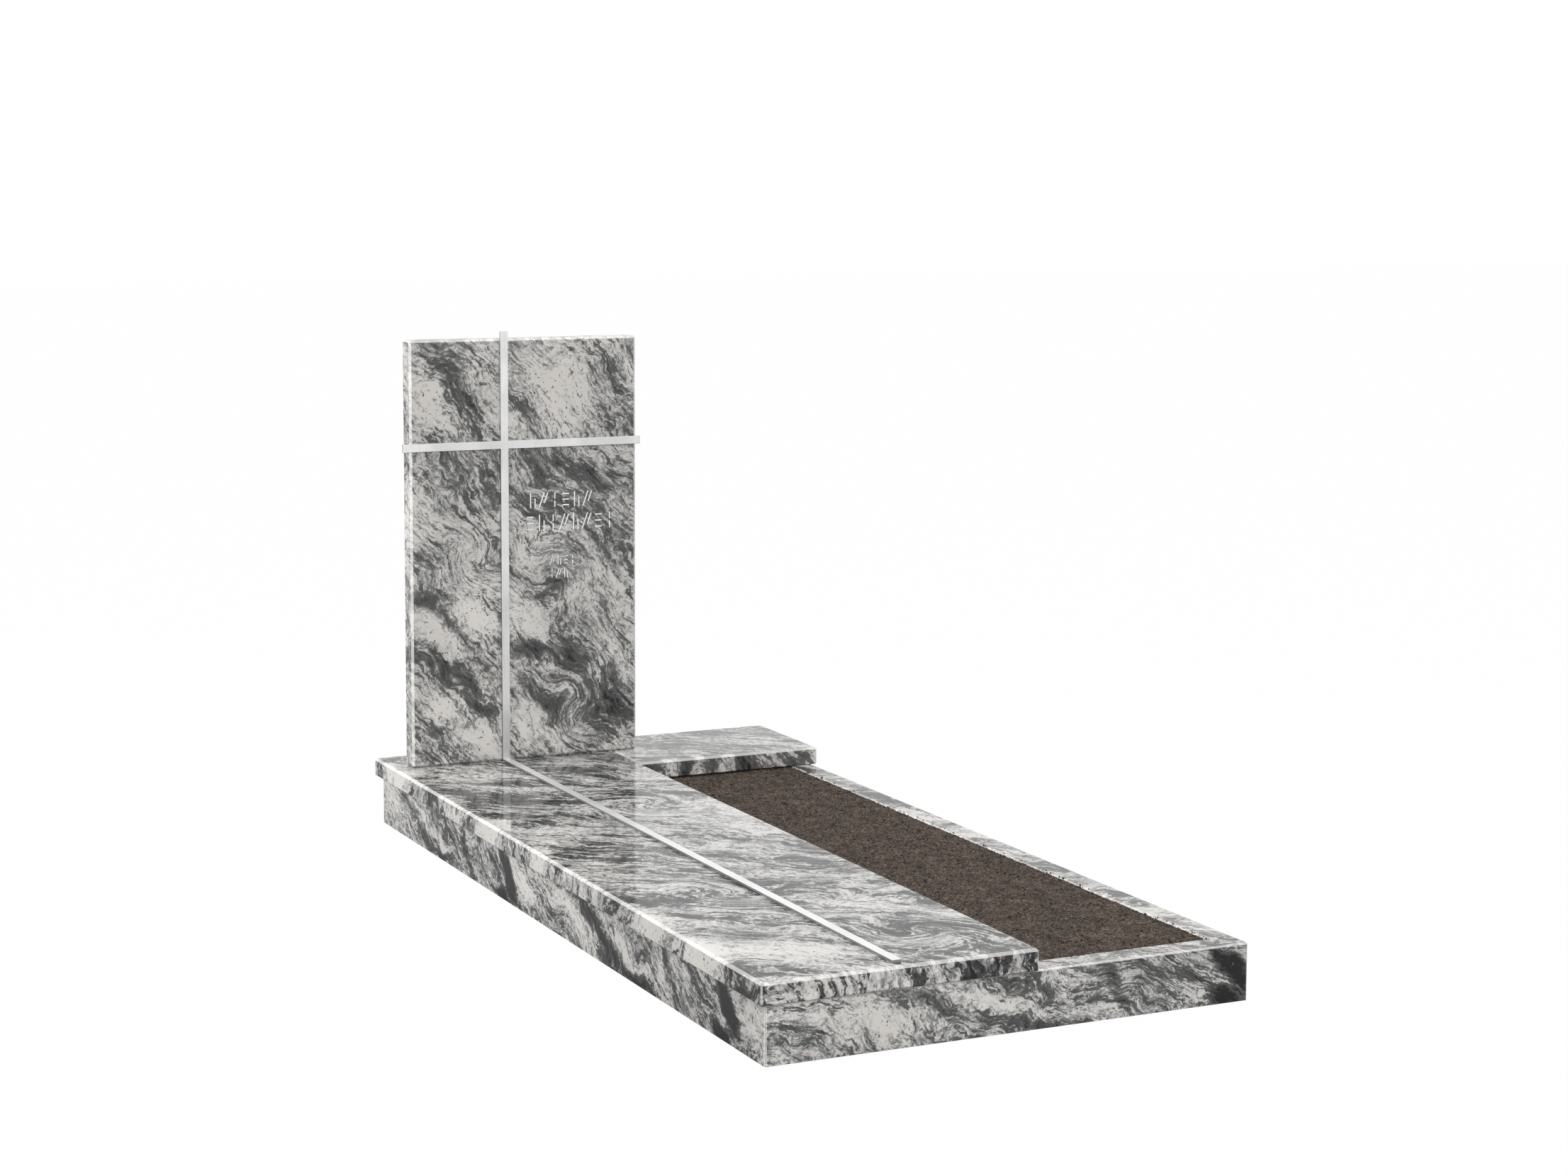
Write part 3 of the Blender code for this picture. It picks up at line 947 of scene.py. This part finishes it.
soilLook = {
    "seed": 11,
    "tones": [(0.25, (0.022, 0.017, 0.014)), (0.55, (0.068, 0.053, 0.044)), (0.86, (0.185, 0.145, 0.115))],
    "grainScale": 330.0,
    "lumpScale": 34.0,
    "lumpTint": 0.5,
    "cellScale": 300.0,
    "cellTint": 0.45,
    "roughness": 0.95,
    "shine": 0.2,
    "reliefStrength": 0.8,
    "reliefDepth": 0.0012,
    "openStep": 0.0042,
    "hiddenStep": 0.06,
    "underSlab": 0.012,  # how far the fine steps run on under the slabs
    "rollScale": 9.0,
    "unevenness": 0.0016,
    "clodScale": 120.0,
    "clodNoise": (0.6, 2.1, 4),
    "clods": 0.0021,
    "crumbCount": 5200,
    "handful": 60,
    "crumbSize": (0.0011, 0.0031),
    "crumbSkew": 2.5,  # so that most are small
    "crumbShape": [(0.8, 1.3), (0.7, 1.1), (0.6, 0.9)],
    "crumbRise": 0.45,  # of its radius, so that each crumb is half sunk
    "overKerb": 0.003,
    "underEdge": 0.004,
    "edgeEvery": 6,
    "edgeSize": 0.6,
    "edgeSpread": 0.003,
    "rightShare": 0.8,
}


def makeSoil(name, look):
    material, tree, shader, place = startMaterial(name)
    grain = addNoise(tree, place, look["grainScale"], 3.0, 0.7)
    lumps = addNoise(tree, place, look["lumpScale"], 3.0, 0.6)
    inputs = {"Vector": place, "Scale": look["cellScale"]}
    cells = addNode(tree, "ShaderNodeTexVoronoi", inputs, feature="F1")
    cell = addNode(tree, "ShaderNodeSeparateColor", {"Color": cells.outputs["Color"]}).outputs[0]
    tone = addMath(tree, "MULTIPLY_ADD", addMath(tree, "SUBTRACT", cell, 0.5), look["cellTint"], grain)
    tone = addMath(tree, "MULTIPLY_ADD", addMath(tree, "SUBTRACT", lumps, 0.5), look["lumpTint"], tone)
    tree.links.new(addRamp(tree, tone, look["tones"]), shader.inputs["Base Color"])
    shader.inputs["Roughness"].default_value = look["roughness"]
    shader.inputs["Specular IOR Level"].default_value = look["shine"]
    height = addMath(tree, "ADD", grain, cells.outputs["Distance"])
    relief = {"Height": height, "Strength": look["reliefStrength"], "Distance": look["reliefDepth"]}
    tree.links.new(addNode(tree, "ShaderNodeBump", relief).outputs["Normal"], shader.inputs["Normal"])
    return material


def soilHeight(x, y, look):
    place = Vector((x, y, 0.0))
    rolling = noise.noise(place * look["rollScale"]) * look["unevenness"]
    clods = noise.fractal(place * look["clodScale"], *look["clodNoise"], noise_basis="PERLIN_ORIGINAL")
    return rolling + clods * look["clods"]


def spacedSteps(low, high, step):
    count = max(1, round((high - low) / step))
    return [low + (high - low) * index / count for index in range(count + 1)]


soilMaterial = makeSoil("plantingSoil", soilLook)


def addSoilSurface(material, look):
    low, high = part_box("soil_bed")
    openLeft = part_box("ledger_slab")[1].x - look["underSlab"]
    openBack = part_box("back_slab")[0].y + look["underSlab"]
    columns = spacedSteps(low.x, openLeft, look["hiddenStep"])[:-1]
    columns += spacedSteps(openLeft, high.x, look["openStep"])
    rows = spacedSteps(low.y, openBack, look["openStep"])[:-1]
    rows += spacedSteps(openBack, high.y, look["hiddenStep"])
    bm = bmesh.new()
    bmesh.ops.create_grid(bm, x_segments=len(columns) - 1, y_segments=len(rows) - 1, size=0.5)
    bm.verts.ensure_lookup_table()
    for vert in bm.verts:
        column = round((vert.co.x + 0.5) * (len(columns) - 1))
        row = round((vert.co.y + 0.5) * (len(rows) - 1))
        x, y = columns[column], rows[row]
        vert.co = (x, y, high.z + soilHeight(x, y, look))
    border = [edge for edge in bm.edges if edge.is_boundary]
    raised = bmesh.ops.extrude_edge_only(bm, edges=border)
    foot = [item for item in raised["geom"] if isinstance(item, bmesh.types.BMVert)]
    for vert in foot:
        vert.co.z = low.z
    bmesh.ops.contextual_create(bm, geom=[edge for edge in bm.edges if edge.is_boundary])
    bmesh.ops.recalc_face_normals(bm, faces=bm.faces)
    soil = meshObject("soil_surface", bm)
    soil.data.materials.append(material)
    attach(soil, "root")
    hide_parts("soil_bed")


def addCrumbs(material, look):
    low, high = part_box("soil_bed")
    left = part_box("ledger_slab")[1].x
    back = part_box("back_slab")[0].y
    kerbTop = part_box("kerb_right")[1].z
    draw = random.Random(look["seed"])
    smallest, largest = look["crumbSize"]
    bm = bmesh.new()
    handful = bmesh.new()
    for index in range(look["crumbCount"]):
        radius = smallest + (largest - smallest) * draw.random() ** look["crumbSkew"]
        x = draw.uniform(left - look["underEdge"], high.x + look["overKerb"])
        y = draw.uniform(low.y - look["overKerb"], back + look["underEdge"])
        if index % look["edgeEvery"] == 0:  # finer crumbs that gather along the right and front kerbs
            radius *= look["edgeSize"]
            if draw.random() < look["rightShare"]:
                x = high.x + draw.gauss(-look["edgeSpread"], look["edgeSpread"])
            else:
                y = low.y + draw.gauss(look["edgeSpread"], look["edgeSpread"])
        ground = high.z + soilHeight(x, y, look)
        if x > high.x or y < low.y:
            ground = kerbTop
        turn = Matrix.Rotation(draw.uniform(0.0, math.tau), 4, Vector((draw.random(), draw.random(), 1.0)))
        long, wide, tall = [draw.uniform(least, most) for least, most in look["crumbShape"]]
        stretch = Matrix.Diagonal((long, wide, tall, 1.0))
        place = Matrix.Translation((x, y, ground + radius * look["crumbRise"]))
        bmesh.ops.create_icosphere(handful, subdivisions=1, radius=radius, matrix=place @ turn @ stretch)
        # a growing mesh is slow to add to, so the crumbs join it by the handful
        if index % look["handful"] == 0 or index == look["crumbCount"] - 1:
            scattered = bpy.data.meshes.new("handful")
            handful.to_mesh(scattered)
            bm.from_mesh(scattered)
            bpy.data.meshes.remove(scattered)
            handful.clear()
    handful.free()
    crumbs = meshObject("soil_crumbs", bm)
    crumbs.data.materials.append(material)
    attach(crumbs, "root")


addSoilSurface(soilMaterial, soilLook)
addCrumbs(soilMaterial, soilLook)
print("soil finished")
